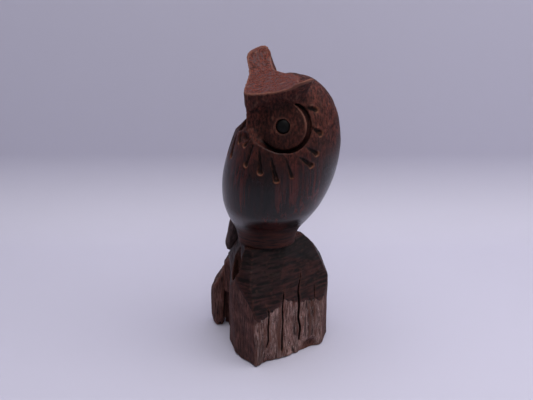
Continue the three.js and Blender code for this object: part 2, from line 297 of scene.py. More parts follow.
def surface_nets(values, origin, step):
    """Quads round every grid edge that crosses the surface; one vertex for each crossed cell."""
    inside = values < 0
    shape = np.array(values.shape) - 1
    corners = [(i, j, k) for i in (0, 1) for j in (0, 1) for k in (0, 1)]
    count = np.zeros(shape, dtype=np.int8)
    for i, j, k in corners:
        count += inside[i:shape[0] + i, j:shape[1] + j, k:shape[2] + k]
    cells = np.argwhere((count > 0) & (count < 8))
    total = np.zeros((len(cells), 3))
    crossings = np.zeros(len(cells))
    for a in corners:
        for axis in range(3):
            if a[axis]:
                continue
            b = list(a)
            b[axis] = 1
            va = values[tuple((cells + a).T)]
            vb = values[tuple((cells + b).T)]
            crossed = (va < 0) != (vb < 0)
            share = np.where(crossed, va / np.where(crossed, va - vb, 1), 0)
            total += crossed[:, None] * np.array(a)
            total[:, axis] += share
            crossings += crossed
    vertices = origin + step * (cells + total / crossings[:, None])
    index = np.full(shape, -1, dtype=np.int64)
    index[tuple(cells.T)] = np.arange(len(cells))
    quads = []
    for axis in range(3):
        u, v = [np.eye(3, dtype=int)[(axis + n) % 3] for n in (1, 2)]
        first = inside[tuple(slice(0, -1) if k == axis else slice(1, -1) for k in range(3))]
        second = inside[tuple(slice(1, None) if k == axis else slice(1, -1) for k in range(3))]
        for outward, crossed in ((True, first & ~second), (False, ~first & second)):
            p = np.argwhere(crossed) + u + v
            ring = [index[tuple((p - offset).T)] for offset in (u + v, v, 0 * u, u)]
            quads.append(np.stack(ring if outward else ring[::-1], 1))
    return vertices, np.concatenate(quads)


def settle(field, vertices, reach):
    """Moves each vertex onto the field's zero level, by at most reach."""
    steps = SLOPE_STEP * np.eye(3, dtype=np.float32)
    for _ in range(2):
        points = vertices.astype(np.float32)
        value = field(points)
        slope = np.stack([field(points + step) - field(points - step) for step in steps], 1)
        slope = slope / (2 * SLOPE_STEP)
        squared = np.maximum((slope * slope).sum(1), 0.25)
        move = -(value / squared)[:, None] * slope
        length = np.maximum(np.linalg.norm(move, axis=1, keepdims=True), 1e-6)
        vertices = vertices + move * np.minimum(1, reach / length)
    return vertices


def no_marks(points):
    return {}


def piece(name, field, step, node, material, marks):
    """Makes the field's mesh as a piece that stands for a CAD node. marks(points) gives its vertex masks."""
    low, high = box_mm(node)
    values, origin = sample(field, low - AXIS - MARGIN, high - AXIS + MARGIN, step)
    vertices, quads = surface_nets(values, origin, step)
    vertices = settle(field, vertices, 0.4 * step)
    mesh = bpy.data.meshes.new(name)
    mesh.from_pydata(((vertices + AXIS) * MM).tolist(), [], quads.tolist())
    mesh.polygons.foreach_set("use_smooth", [True] * len(quads))
    for mark, data in marks(vertices.astype(np.float32)).items():
        layer = mesh.attributes.new(mark, "FLOAT", "POINT")
        layer.data.foreach_set("value", np.ascontiguousarray(data, dtype=np.float32))
    mesh.materials.append(material)
    shown = bpy.data.objects.new(name, mesh)
    bpy.context.scene.collection.objects.link(shown)
    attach(shown, "root")
    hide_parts(node)
    print(name, len(vertices), "vertices")
    return shown


# ---------- Outlines turned into distance tables ----------


def smooth_curve(corners, closed, steps):
    """Centripetal Catmull-Rom curve through the corners."""
    p = np.asarray(corners, float)
    if closed:
        p = np.concatenate([p[-1:], p, p[:2]])
    else:
        p = np.concatenate([2 * p[:1] - p[1:2], p, 2 * p[-1:] - p[-2:-1]])
    t = np.linspace(0, 1, steps, endpoint=False)[:, None]
    runs = []
    for a, b, c, d in zip(p, p[1:], p[2:], p[3:]):
        before, here, after = [math.sqrt(np.linalg.norm(q - r)) for q, r in ((a, b), (b, c), (c, d))]
        leave = here * ((b - a) / before - (c - a) / (before + here) + (c - b) / here)
        arrive = here * ((c - b) / here - (d - b) / (here + after) + (d - c) / after)
        bend = -3 * b + 3 * c - 2 * leave - arrive
        twist = 2 * b - 2 * c + leave + arrive
        runs.append(b + leave * t + bend * t ** 2 + twist * t ** 3)
    return np.concatenate(runs)


def outline_distance(points, outline):
    """Signed distance in the plane from each point to a closed outline."""
    nearest = np.full(len(points), 1e9)
    inside = np.zeros(len(points), dtype=bool)
    for a, b in zip(outline, np.roll(outline, -1, axis=0)):
        along = b - a
        share = np.clip((points - a) @ along / max(along @ along, 1e-12), 0, 1)
        gap = points - a - share[:, None] * along
        nearest = np.minimum(nearest, (gap * gap).sum(1))
        spans = (a[1] > points[:, 1]) != (b[1] > points[:, 1])
        rise = b[1] - a[1] if b[1] != a[1] else 1
        inside ^= spans & (points[:, 0] < a[0] + (points[:, 1] - a[1]) / rise * along[0])
    return np.where(inside, -1, 1) * np.sqrt(nearest)


def lookup(table, low, step, coordinates):
    """Linear interpolation in a table whose first entry lies at low; works in two or three axes."""
    q = [np.clip((c - l) / step, 0, n - 1.001) for c, l, n in zip(coordinates, low, table.shape)]
    base = [c.astype(int) for c in q]
    part = [c - b for c, b in zip(q, base)]
    total = 0
    for corner in np.ndindex(*(2,) * len(q)):
        weight = 1
        for f, up in zip(part, corner):
            weight = weight * (f if up else 1 - f)
        total = total + weight * table[tuple(b + up for b, up in zip(base, corner))]
    return total


TABLE_STEP = 1.0
BODY_TABLE_LOW = (0, 74)
BODY_TABLE_SIZE = (62, 158)
HEAD_TABLE_LOW = (-46, -46, 182)
HEAD_TABLE_SIZE = (92, 76, 58)


def table_axes(low, size):
    return [np.arange(0, length, TABLE_STEP) + start for start, length in zip(low, size)]


def body_table():
    right = smooth_curve(BODY_RINGS, False, 10)
    outline = np.concatenate([right, right[::-1] * (-1, 1)])
    across, up = table_axes(BODY_TABLE_LOW, BODY_TABLE_SIZE)
    grid = np.stack(np.meshgrid(across, up, indexing="ij"), -1)
    return outline_distance(grid.reshape(-1, 2), outline).reshape(grid.shape[:2]).astype(np.float32)


def head_table():
    """Signed distance to the head block's outline at every height."""
    across, along, up = table_axes(HEAD_TABLE_LOW, HEAD_TABLE_SIZE)
    grid = np.stack(np.meshgrid(across, along, indexing="ij"), -1)
    levels = []
    for z in up:
        front, half, back = (np.interp(z, HEAD_RINGS[:, 0], HEAD_RINGS[:, n]) for n in (1, 2, 3))
        left, right = (
            [(side * half * CHEEK_OUT, -front * CHEEK_FRONT), (side * half, EAR_FRONT),
             (side * half * EAR_BACK_OUT, EAR_BACK[side]), (side * half * NAPE_OUT, back)]
            for side in (1, -1)
        )
        outline = smooth_curve([(0, -front)] + left + [(0, back + NAPE_BULGE)] + right[::-1], True, 6)
        levels.append(outline_distance(grid.reshape(-1, 2), outline).reshape(grid.shape[:2]))
    return np.stack(levels, -1).astype(np.float32)


BODY_TABLE = body_table()
HEAD_TABLE = head_table()

# ---------- Owl ----------


def lean(height):
    """How far the owl's axis stands off the collar's axis at this height."""
    return HEAD_LEAN * ramp(height, SEAM, LEAN_TOP)


def turned(points, degrees):
    c, s = math.cos(math.radians(degrees)), math.sin(math.radians(degrees))
    x, y = points[..., 0], points[..., 1]
    return np.stack([c * x - s * y, s * x + c * y, points[..., 2]], -1)


def to_head(points):
    return turned(points - np.array([HEAD_LEAN, 0, 0], dtype=points.dtype), HEAD_TURN)


def from_head(points):
    return turned(points, -HEAD_TURN) + (HEAD_LEAN, 0, 0)


def eye_axes(side):
    """Directions away from the beak, up the disc and out of the disc, in the head's frame."""
    turn, lift = math.radians(EYE["turn"]), math.radians(EYE["lift"])
    away = np.array([side * math.cos(turn), math.sin(turn), 0])
    out = np.array([side * math.sin(turn) * math.cos(lift), -math.cos(turn) * math.cos(lift), math.sin(lift)])
    up = np.array([-side * math.sin(turn) * math.sin(lift), math.cos(turn) * math.sin(lift), math.cos(lift)])
    return away, up, out


def eye_centre(side):
    """Centre of the disc, from the pupil's own box."""
    low, high = box_mm("pupil_left" if side > 0 else "pupil_right")
    middle = to_head((low + high) / 2 - AXIS)
    return middle + eye_axes(side)[2] * PUPIL["sink"]


EYES = {side: (eye_centre(side), *eye_axes(side)) for side in (1, -1)}


def body_distance(points):
    depth = COLLAR_DEPTH + (1 - COLLAR_DEPTH) * ramp(points[:, 2], COLLAR_TOP, BELLY_ROUND)
    across = np.hypot(points[:, 0] - lean(points[:, 2]), points[:, 1] / depth)
    return lookup(BODY_TABLE, BODY_TABLE_LOW, TABLE_STEP, (across, points[:, 2]))


def on_body(point):
    """Point of the body's skin beyond the given point of the head's frame, at the same height."""
    z = point[2]
    centre = to_head(np.array([lean(z), 0, z]))
    direction = (point - centre) / np.linalg.norm(point - centre)
    reach = np.arange(0, 60, 0.25)
    path = from_head(centre + reach[:, None] * direction)
    first = np.argmax(body_distance(path) > 0)
    return centre + reach[first] * direction


def gouge_marks():
    """Start, end and width of every feather gouge, in the head's frame."""
    marks = []
    for side in (1, -1):
        centre, away, up, _ = EYES[side]
        for start_angle, end_angle, near, far, width in GOUGES:
            ends = []
            for angle, reach in ((start_angle, near), (end_angle, far)):
                turn = math.radians(angle)
                ends.append(on_body(centre + reach * (math.cos(turn) * away + math.sin(turn) * up)))
            marks.append((*ends, width))
    return marks


GOUGE_MARKS = gouge_marks()
CROWN_CURVE = smooth_curve(CROWN_SECTION, False, 8)
CROWN_SLOPE = np.diff(CROWN_CURVE[:, 1]) / np.diff(CROWN_CURVE[:, 0])
CROWN_MIDDLES = (CROWN_CURVE[1:, 0] + CROWN_CURVE[:-1, 0]) / 2


def crown_distance(head):
    """Positive above the hollow between the ears."""
    floor = np.interp(head[:, 0], CROWN_CURVE[:, 0], CROWN_CURVE[:, 1])
    height = floor + CROWN_RISE * (head[:, 1] - CROWN_BROW)
    slope = np.interp(head[:, 0], CROWN_MIDDLES, np.abs(CROWN_SLOPE))
    hollow = (head[:, 2] - height) / np.sqrt(1 + slope * slope)
    point, normal = np.array(EAR_BEVEL[0]), np.array(EAR_BEVEL[1])
    return smooth_max(hollow, (head - point) @ normal / np.linalg.norm(normal), BLEND["bevel"])


def head_block(head):
    low, high = HEAD_RINGS[0, 0], HEAD_RINGS[-1, 0]
    flat = lookup(HEAD_TABLE, HEAD_TABLE_LOW, TABLE_STEP, (head[:, 0], head[:, 1], head[:, 2]))
    return np.maximum(flat, np.maximum(low - head[:, 2], head[:, 2] - high))


def eye_place(head, side):
    """Distance from the eye's axis, height over the disc, and angle round it."""
    centre, away, up, out = EYES[side]
    gap = head - centre
    x, y = gap @ away, gap @ up
    return np.hypot(x, y), gap @ out, np.arctan2(y, x)


def disc_cut(radial, over, angle, depth_share):
    """Negative in the space cut away in front of the domed disc, which sinks away towards the beak."""
    toward = -radial * np.cos(angle)
    past = smooth_max(toward - VALLEY["start"], 0, VALLEY["soft"])
    dome = EYE["dome"] * (1 - (radial / EYE["radius"]) ** 2) * (1 - ramp(past, 0, VALLEY["level_out"]))
    level = dome - VALLEY["slope"] * past
    reach = np.hypot(toward - (1 - VALLEY["stretch"]) * past, radial * np.sin(angle))
    blend = BLEND["floor"] + BLEND["fading_floor"] * (1 - depth_share)
    return smooth_max(reach - EYE["radius"], level - over, blend)


def groove_share(angle):
    """1 below and away from the beak, 0 where the groove fades out."""
    return ramp(np.cos(angle - math.radians(GROOVE_DEEPEST)), *GROOVE_FADE)


def groove_cut(radial, over, depth_share):
    """Narrow steep ring cut round the disc."""
    half, deep = (faded + (full - faded) * depth_share for faded, full in (GROOVE["half"], GROOVE["deep"]))
    across = radial - EYE["radius"] - GROOVE["out"]
    return (np.hypot(across / half, (over + GROOVE["sunk"]) / deep) - 1) * half


def beak(head):
    """Wedge with two flat flanks and a straight cut under it."""
    slope = math.radians(BEAK["flare"])
    across = np.abs(head[:, 0])
    flank = across * math.sin(slope) - (head[:, 1] + BEAK["front"]) * math.cos(slope)
    half = BEAK["tip_half"] + BEAK["spread"] * ramp(head[:, 2], BEAK["tip"], BEAK["top"])
    foot = BEAK["tip"] - head[:, 2] - BEAK["rake"] * (head[:, 1] + BEAK["front"])
    sides = np.maximum(np.maximum(flank, across - half), head[:, 1] + BEAK["back"])
    return np.maximum(sides, np.maximum(foot, head[:, 2] - BEAK["top"]))


def gouge_cut(head):
    cut = np.full(len(head), FAR, dtype=np.float32)
    for start, end, width in GOUGE_MARKS:
        cut = np.minimum(cut, drop(head, start, end, *(width * share for share in GOUGE_RADII)))
    return cut + relief(head, GOUGE_RELIEF)


def owl_field(points):
    head = to_head(points)
    shape = smooth_min(body_distance(points), head_block(head), BLEND["neck"])
    places = [eye_place(head, side) for side in (1, -1)]
    for radial, over, angle in places:
        share = groove_share(angle)
        blend = BLEND["disc"] + BLEND["fading_disc"] * (1 - share)
        shape = smooth_max(shape, -disc_cut(radial, over, angle, share), blend)
    shape = smooth_min(shape, beak(head), BLEND["beak"])
    shape = smooth_max(shape, -ellipsoid(head, *UNDERCUT), BLEND["undercut"])
    knife_cut = ramp(points[:, 2], *KNIFE_CUT_FROM)
    shape = shape + knife_cut * relief(head, KNIFE_RELIEF)
    for radial, over, angle in places:
        shape = smooth_max(shape, -groove_cut(radial, over, groove_share(angle)), BLEND["groove"])
        socket = np.maximum(radial - PUPIL_SOCKET["radius"], -PUPIL_SOCKET["depth"] - over)
        shape = np.maximum(shape, -socket)
    shape = smooth_max(shape, -gouge_cut(head), BLEND["gouge"])
    rim_blend = BLEND["crown"] + BLEND["ears"] * ramp(head[:, 2], *EARS_ROUNDED_FROM)
    shape = smooth_max(shape, crown_distance(head) + relief(head, CROWN_RELIEF), rim_blend)
    return np.maximum(shape, SEAM - points[:, 2])


def bend_marks(field, points, reach):
    """Wear with a painted highlight (outer edges) and painted crevice shade (inner edges), each 0 to 1, from
    how the field bends.
    """
    steps = reach * np.eye(3, dtype=np.float32)
    around = sum(field(points + step) + field(points - step) for step in steps)
    bend = (around - 6 * field(points)) / reach ** 2
    return ramp(bend, *WEAR_AND_HIGHLIGHT_BEND), ramp(-bend, *CREVICE_SHADE_BEND)


def gouge_end_highlights(head):
    """1 on the lip at the far end of each gouge, where a highlight is painted."""
    tip = np.zeros(len(head), dtype=np.float32)
    for start, end, width in GOUGE_MARKS:
        along = (head - start) @ (end - start) / ((end - start) @ (end - start))
        gap = np.linalg.norm(head - end, axis=1) / width
        lip_highlight = ramp(along, *GOUGE_END_HIGHLIGHT["along"]) * (1 - ramp(gap, *GOUGE_END_HIGHLIGHT["reach"]))
        tip = np.maximum(tip, lip_highlight)
    return tip


def owl_marks(points):
    head = to_head(points)
    wear_and_highlight, crevice_shade = bend_marks(owl_field, points, 1.3)
    gouge = gouge_cut(head)
    wear_and_highlight = wear_and_highlight * ramp(gouge, 0.2, 2) * ramp(points[:, 2], *WEAR_AND_HIGHLIGHT_FROM)
    # disc: the eye discs, which the material darkens as painted shade from the brow
    disc = np.zeros(len(points), dtype=np.float32)
    for side in (1, -1):
        radial, over, _ = eye_place(head, side)
        on_disc = 1 - ramp(np.abs(over), 3, 5)
        disc = np.maximum(disc, (1 - ramp(radial, EYE["radius"] - 1.5, EYE["radius"] + 0.5)) * on_disc)
        rim = (1 - ramp(np.abs(radial - EYE["radius"] - 1.5), 1.5, 3)) * (1 - ramp(np.abs(over), 4, 6))
        socket = (1 - ramp(radial, PUPIL["radius"] + 1, PUPIL["radius"] + 2)) * on_disc
        wear_and_highlight = wear_and_highlight * (1 - 0.75 * rim) * (1 - 0.6 * socket)     # fresh cuts there, so little wear and a fainter painted edge highlight
    crown = 1 - ramp(np.abs(crown_distance(head)), 0.6, 1.4)
    matte = ramp(points[:, 2] + relief(points, MATTE_EDGE), *MATTE_FROM)
    return {
        "wear_and_highlight": wear_and_highlight,
        "crevice_shade": crevice_shade,
        "cut": 1 - ramp(gouge, -0.2, 0.5),
        "tip": gouge_end_highlights(head),
        "crown": crown,
        "matte": np.maximum(crown, matte),
        "disc": disc,
        "collar": 1 - ramp(points[:, 2], *COLLAR_UP_TO),
    }


# ---------- Tail ----------


def tail_field(points):
    outward = heading(TAIL["heading"])
    sideways = heading(TAIL["heading"] - 90)
    share = np.clip((points[:, 2] - TAIL_LOW[2]) / (TAIL_HIGH[2] - TAIL_LOW[2]), 0, 1)
    swell = np.sin(np.pi / 2 * np.clip(TAIL["taper"] * share, 0.002, 1)) ** TAIL["fullness"]
    depth = (points @ outward - TAIL["out"] + TAIL["lean"] * share) / (TAIL["thick"] / 2)
    across = points @ sideways / (TAIL["wide"] / 2)
    shape = (np.hypot(depth, across) - swell) * TAIL["thick"] / 2
    shape = shape + relief(points, TAIL_RELIEF) + SUNK["tail"]
    shape = np.maximum(shape, TAIL_LOW[2] - points[:, 2])
    return np.maximum(shape, GAP - np.minimum(owl_field(points), stump_field(points)))


def tail_marks(points):
    wear_and_highlight, crevice_shade = bend_marks(tail_field, points, 1.0)
    return {"wear_and_highlight": wear_and_highlight, "crevice_shade": crevice_shade}


# ---------- Stump ----------


def plan_slab(points, plan, blend):
    """Distance outside an upright slab with a convex plan."""
    shape = np.full(len(points), -FAR, dtype=np.float32)
    for (x0, y0), (x1, y1) in zip(plan, plan[1:] + plan[:1]):
        length = math.hypot(x1 - x0, y1 - y0)
        away = ((points[:, 0] - x0) * (y0 - y1) + (points[:, 1] - y0) * (x1 - x0)) / length
        shape = smooth_max(shape, away, blend)
    return shape


def planes(points, rows, level, sign, blend):
    """Smooth meeting of upright planes that spread with height above (or below) a level."""
    shape = np.full(len(points), -FAR, dtype=np.float32)
    for degrees, distance, spread in rows:
        reach = distance + sign * spread * (points[:, 2] - level)
        shape = smooth_max(shape, (points @ heading(degrees) - reach) / math.hypot(1, spread), blend)
    return shape


def crack_cut(points, across, foot, top, width, depth):
    """Upright wedge cut that wanders as it runs up the front."""
    z = points[:, 2]
    seed = int(across) + CRACK_WANDER["seed"]
    upright = np.stack([0 * z, 0 * z, z], 1)
    wander = CRACK_WANDER["reach"] * noise(upright, (1, 1, CRACK_WANDER["length"]), seed)
    ends = ramp(z, foot, foot + CRACK_ENDS["foot"]) * (1 - ramp(z, top - CRACK_ENDS["top"], top))
    inward = FRONT_OUT - points @ heading(FRONT_HEADING)
    half = width / 2 * ends * (1 - np.clip(inward / depth, -0.5, 1)) - CRACK_ENDS["closed"] * (1 - ends)
    return np.maximum(np.abs(points[:, 0] - across - wander) - half, inward - depth)


def bent(points, reach, seed):
    """The points shifted sideways, so that straight grain wanders."""
    shift = reach * noise(points, (9, 9, 22), seed)
    return points + shift[:, None] * np.array([1, 0.6, 0], dtype=np.float32)


def fibre_relief(points):
    """Weathered grain: long grooves of three sizes."""
    return relief(bent(points, 1.6, 20), FIBRE_RELIEF)


def grain_shade(points):
    """1 on the grain's raised bands, which are the darker ones, and 0 in its grooves."""
    return 1 - ramp(fibre_relief(points), -0.9, 0.9)


def front_share(points):
    """1 on the weathered front, 0 on the smoother faces beside it."""
    left_edge = points[:, 0] + relief(points, FRONT_EDGE)
    return ramp(points @ heading(FRONT_HEADING), *FRONT_FROM["out"]) * ramp(left_edge, *FRONT_FROM["across"])


def shoulder_at(turn, down):
    """The shoulder plane met first from outside: distance from the axis, heading and spread."""
    planes_ahead = [row for row in SHOULDERS if math.cos(math.radians(turn - row[0])) > 0.2]
    return min(
        ((distance + spread * down) / math.cos(math.radians(turn - degrees)), degrees, spread)
        for degrees, distance, spread in planes_ahead
    )


def chisel_facets():
    """Flat tool cuts on the shoulders: the outward normal of each and its distance from the origin."""
    random = np.random.default_rng(FACET_SEED)

    def jitter(name):
        return random.uniform(-FACET_SPREAD[name], FACET_SPREAD[name])

    facets = []
    for middle in FACETS_AT["headings"]:
        for down in FACETS_AT["down"]:
            turn = middle + jitter("turn")
            reach, degrees, spread = shoulder_at(turn, down)
            place = reach * heading(turn) + (0, 0, SEAM - down)
            tilted = heading(degrees + jitter("tilt")) + (0, 0, spread + jitter("slant"))
            normal = tilted / np.linalg.norm(tilted)
            facets.append((normal, normal @ place - random.uniform(*FACET_DEPTHS)))
    return facets


FACETS = chisel_facets()


def facet_distances(points):
    return np.stack([points @ normal - distance for normal, distance in FACETS], 1)


def chisel_distance(points, facets):
    """Distance outside the shoulders, given the distances outside each facet."""
    return np.maximum(planes(points, SHOULDERS, SEAM, -1, BLEND["shoulders"]), facets.max(1))


def shoulders_field(points):
    scallops = np.abs(relief(points, SCALLOPS)) + SUNK["chisel"]
    chisel = chisel_distance(points, facet_distances(points)) + scallops + relief(points, CHISEL_RELIEF)
    return np.maximum(points[:, 2] - (SEAM - GAP), chisel)


def web_field(points):
    """Low slab that joins the spur's foot to the log."""
    web = np.maximum(plan_slab(points, WEB["plan"], BLEND["slab"]), points[:, 2] - WEB["top"])
    return web + SUNK["web"] + relief(points, WEB_RELIEF)


def fin_field(points):
    """Upright blade at the left edge with a sloping top."""
    (across, height), fall = FIN["ridge"], FIN["fall"]
    top = (points[:, 2] - height - fall * (points[:, 0] - across)) / math.hypot(1, fall)
    shape = plan_slab(points, FIN["plan"], BLEND["slab"])
    shape = smooth_max(shape, np.maximum(top, points[:, 2] - (SEAM - GAP)), BLEND["fin_top"])
    shape = shape + SUNK["fin"] + relief(bent(points, 1.2, 30), FIN_RELIEF)
    return np.maximum(shape, FIN["foot"] - points[:, 2])


def stump_field(points):
    z = points[:, 2]
    sides = planes(points, STUMP_SIDES, 0, 1, BLEND["sides"]) + SUNK["sides"] + relief(points, SIDE_WAVES)
    fibre_height = SIDE_FIBRES + (1 - SIDE_FIBRES) * front_share(points)
    sides = sides + fibre_height * fibre_relief(points)
    shape = smooth_max(sides, shoulders_field(points), BLEND["shoulder_rim"])
    shape = smooth_min(shape, fin_field(points), BLEND["log"])
    shape = smooth_min(shape, web_field(points), BLEND["log"])
    notch = ellipsoid(bent(points, 1.8, 16), *RECESS) + relief(points, RECESS_RELIEF)
    shape = smooth_max(shape, -notch, BLEND["notch"])
    for crack in CRACKS:
        shape = smooth_max(shape, -crack_cut(points, *crack), BLEND["crack"])
    shape = smooth_max(shape, -ellipsoid(points, *FOOT_HOLLOW), BLEND["foot_hollow"])
    ragged = (RAGGED["stump"] + relief(points, STUMP_FOOT)) * ramp(sides, -RAGGED["inwards"], 0)
    shape = smooth_max(shape, ragged - z, BLEND["foot"])
    socket_wall = np.hypot(points[:, 0], points[:, 1]) - DOWEL_SOCKET["radius"]
    socket = np.maximum(socket_wall, SEAM - DOWEL_SOCKET["depth"] - z)
    return np.maximum(shape, np.maximum(-socket, -z))


def stump_marks(points):
    wear_and_highlight, crevice_shade = bend_marks(stump_field, points, 1.3)
    facets = facet_distances(points)
    chisel = chisel_distance(points, facets) + relief(points, CHISEL_EDGE)
    facet_cells = facets.argmax(1)[:, None] * np.array([1, 0, 0])
    return {
        "wear_and_highlight": wear_and_highlight,
        "crevice_shade": crevice_shade,
        "cut": ramp(chisel, -1.0, -0.8),
        "front": front_share(points),
        "shade": grain_shade(points),
        "tone": 0.5 + 0.5 * lattice(facet_cells, 38),
    }


# ---------- Root spur ----------


def spur_field(points):
    z = points[:, 2]
    size = SPUR_HIGH - SPUR_LOW
    plan = [(SPUR_LOW[0] + x * size[0], SPUR_LOW[1] + y * size[1]) for x, y in SPUR_PLAN]
    shape = plan_slab(points, plan, BLEND["spur"]) + SUNK["spur"] + relief(bent(points, 1.0, 30), SPUR_RELIEF)
    shape = shape + SPUR_TUCK["in"] * (1 - ramp(z, 0, SPUR_TUCK["height"]))
    fall = (z - SPUR_HIGH[2] - SPUR_FALL * (points[:, 0] - SPUR_HIGH[0])) / math.hypot(1, SPUR_FALL)
    shape = smooth_max(shape, fall + relief(points, SPUR_TOP), BLEND["spur_top"])
    return smooth_max(shape, RAGGED["spur"] + relief(points, SPUR_FOOT) - z, BLEND["foot"])


def spur_marks(points):
    wear_and_highlight, crevice_shade = bend_marks(spur_field, points, 1.0)
    front = np.full(len(points), SPUR_WEATHERING)
    return {"wear_and_highlight": wear_and_highlight, "crevice_shade": crevice_shade, "shade": grain_shade(points), "front": front}


# ---------- Pupils ----------


def pupil_field(side):
    def field(points):
        radial, over, _ = eye_place(to_head(points), side)
        face = PUPIL["proud"] - PUPIL["dome"] * (radial / PUPIL["radius"]) ** 2
        plug = smooth_max(radial - PUPIL["radius"], over - face, BLEND["pupil"])
        return np.maximum(plug, -PUPIL["back"] - over)
    return field


# ---------- Materials ----------


def add_node(tree, kind, **inputs):
    """New shader node; an input is a number, a colour or another node's output."""
    node = tree.nodes.new("ShaderNode" + kind)
    for name, value in inputs.items():
        socket = node.inputs[int(name[1:])] if name[1:].isdigit() else node.inputs[name.replace("_", " ")]
        if isinstance(value, bpy.types.NodeSocket):
            tree.links.new(value, socket)
        else:
            socket.default_value = value
    return node


def grain(tree, size, detail, rough=0.55):
    """Noise value, 0 to 1, with the grain's length in millimetres along each axis."""
    place = tree.nodes.get("Place") or add_node(tree, "TexCoord")
    place.name = "Place"
    stretch = [1 / (side * MM) for side in size]
    mapping = add_node(tree, "Mapping", Vector=place.outputs["Object"], Scale=stretch)
    waves = add_node(tree, "TexNoise", Vector=mapping.outputs[0], Scale=1.0, Detail=detail, Roughness=rough)
    return waves.outputs[0]


def stretch_value(tree, value, low, high, to_low=0.0, to_high=1.0):
    """Maps low..high onto to_low..to_high, and clamps."""
    node = add_node(tree, "MapRange", Value=value, From_Min=low, From_Max=high, To_Min=to_low, To_Max=to_high)
    return node.outputs[0]


def pattern(tree, size, low, high, detail, rough=0.55):
    """Grain whose values low..high are spread over 0..1."""
    return stretch_value(tree, grain(tree, size, detail, rough), low, high)


def mark(tree, name):
    """One of the masks that piece() stored on the mesh."""
    node = tree.nodes.new("ShaderNodeAttribute")
    node.attribute_name = name
    return node.outputs["Fac"]


def math_node(tree, operation, a, b):
    node = add_node(tree, "Math", _0=a, _1=b)
    node.operation = operation
    return node.outputs[0]


def times(tree, a, b):
    return math_node(tree, "MULTIPLY", a, b)


def more_of(tree, a, b):
    return math_node(tree, "MAXIMUM", a, b)


def mix(tree, factor, a, b):
    node = tree.nodes.new("ShaderNodeMix")
    node.data_type = "RGBA"
    for socket, value in ((node.inputs[0], factor), (node.inputs[6], a), (node.inputs[7], b)):
        if isinstance(value, bpy.types.NodeSocket):
            tree.links.new(value, socket)
        else:
            socket.default_value = value
    return node.outputs[2]


def new_material(name):
    material = bpy.data.materials.new(name)
    material.use_nodes = True
    material.node_tree.nodes.clear()
    return material, material.node_tree


def finish_material(tree, colour, roughness, height, bump, **more):
    """Joins a material's parts to its output; bump is the relief of a height of 1, in mm."""
    bumps = add_node(tree, "Bump", Height=height, Distance=bump * MM, Strength=1.0)
    surface = add_node(
        tree, "BsdfPrincipled", Base_Color=colour, Roughness=roughness, Normal=bumps.outputs[0], **more
    )
    add_node(tree, "OutputMaterial", Surface=surface.outputs[0])


def glossy_body(tree, low):
    """Dark red and black figure that runs up the body, and rings round the low collar."""
    streaks = pattern(tree, (2.2, 2.2, 60), 0.46, 0.64, 4)
    clouds = pattern(tree, (18, 18, 70), 0.40, 0.60, 2)
    red = mix(tree, streaks, (0.010, 0.0035, 0.0035, 1), (0.066, 0.0110, 0.0080, 1))
    black = mix(tree, streaks, (0.0022, 0.0018, 0.0020, 1), (0.0110, 0.0040, 0.0038, 1))
    rings = pattern(tree, (14, 14, 1.6), 0.38, 0.64, 4, 0.6)
    collar = mix(tree, rings, (0.007, 0.0030, 0.0026, 1), (0.062, 0.0150, 0.0090, 1))
    return mix(tree, low, mix(tree, clouds, black, red), collar)


def knife_cut_head(tree, strokes):
    patches = pattern(tree, (6, 6, 9), 0.40, 0.62, 4, 0.6)
    head = mix(tree, strokes, (0.019, 0.0056, 0.0048, 1), (0.118, 0.0310, 0.0220, 1))
    head = mix(tree, patches, mix(tree, 0.55, head, (0.016, 0.0072, 0.0072, 1)), head)
    # painted shade of the brow over the eye discs
    return mix(tree, times(tree, mark(tree, "disc"), 0.45), head, (0.012, 0.0056, 0.0052, 1))


def bare_crown(tree):
    """Paler red-brown wood with grey streaks, in the hollow between the ears."""
    knife = pattern(tree, (1.0, 1.0, 6), 0.40, 0.62, 5, 0.7)
    crown = mix(tree, knife, (0.024, 0.0095, 0.0095, 1), (0.165, 0.040, 0.027, 1))
    grey = pattern(tree, (2.4, 2.4, 14), 0.50, 0.60, 4, 0.6)
    return mix(tree, times(tree, grey, 0.6), crown, (0.088, 0.056, 0.062, 1))


def polished_wood():
    """Dark red-brown wood: glossy body, matte knife-cut head, raw wood in the gouges; worn edges lighter as
    wear with a painted highlight, painted shade in creases and on the eye discs, a painted highlight on each
    gouge's far lip.
    """
    material, tree = new_material("polished_wood")
    low, matte, cut = mark(tree, "collar"), mark(tree, "matte"), mark(tree, "cut")
    strokes = pattern(tree, (1.3, 4, 3), 0.40, 0.62, 5, 0.7)
    fine = grain(tree, (0.5, 0.5, 8), 3)
    colour = mix(tree, matte, glossy_body(tree, low), knife_cut_head(tree, strokes))
    colour = mix(tree, mark(tree, "crown"), colour, bare_crown(tree))
    gouge = mix(tree, strokes, (0.012, 0.0040, 0.0030, 1), (0.060, 0.0180, 0.0100, 1))
    colour = mix(tree, cut, colour, gouge)
    # painted highlight on the lit lip at each gouge's far end
    colour = mix(tree, times(tree, mark(tree, "tip"), 0.8), colour, (0.165, 0.058, 0.034, 1))
    # worn edges: real wear with a painted highlight
    colour = mix(tree, times(tree, mark(tree, "wear_and_highlight"), 0.6), colour, (0.23, 0.100, 0.072, 1))
    # painted shade in creases
    colour = mix(tree, times(tree, mark(tree, "crevice_shade"), 0.85), colour, (0.002, 0.0014, 0.0014, 1))
    dull = more_of(tree, matte, more_of(tree, cut, times(tree, low, 0.8)))
    gloss_grain = stretch_value(tree, fine, 0.3, 0.7, 0.20, 0.28)
    rough = math_node(tree, "ADD", times(tree, dull, 0.38), gloss_grain)
    shine = math_node(tree, "SUBTRACT", 0.30, times(tree, dull, 0.20))
    finish_material(tree, colour, rough, mix(tree, matte, fine, strokes), 0.12, Specular_IOR_Level=shine)
    return material


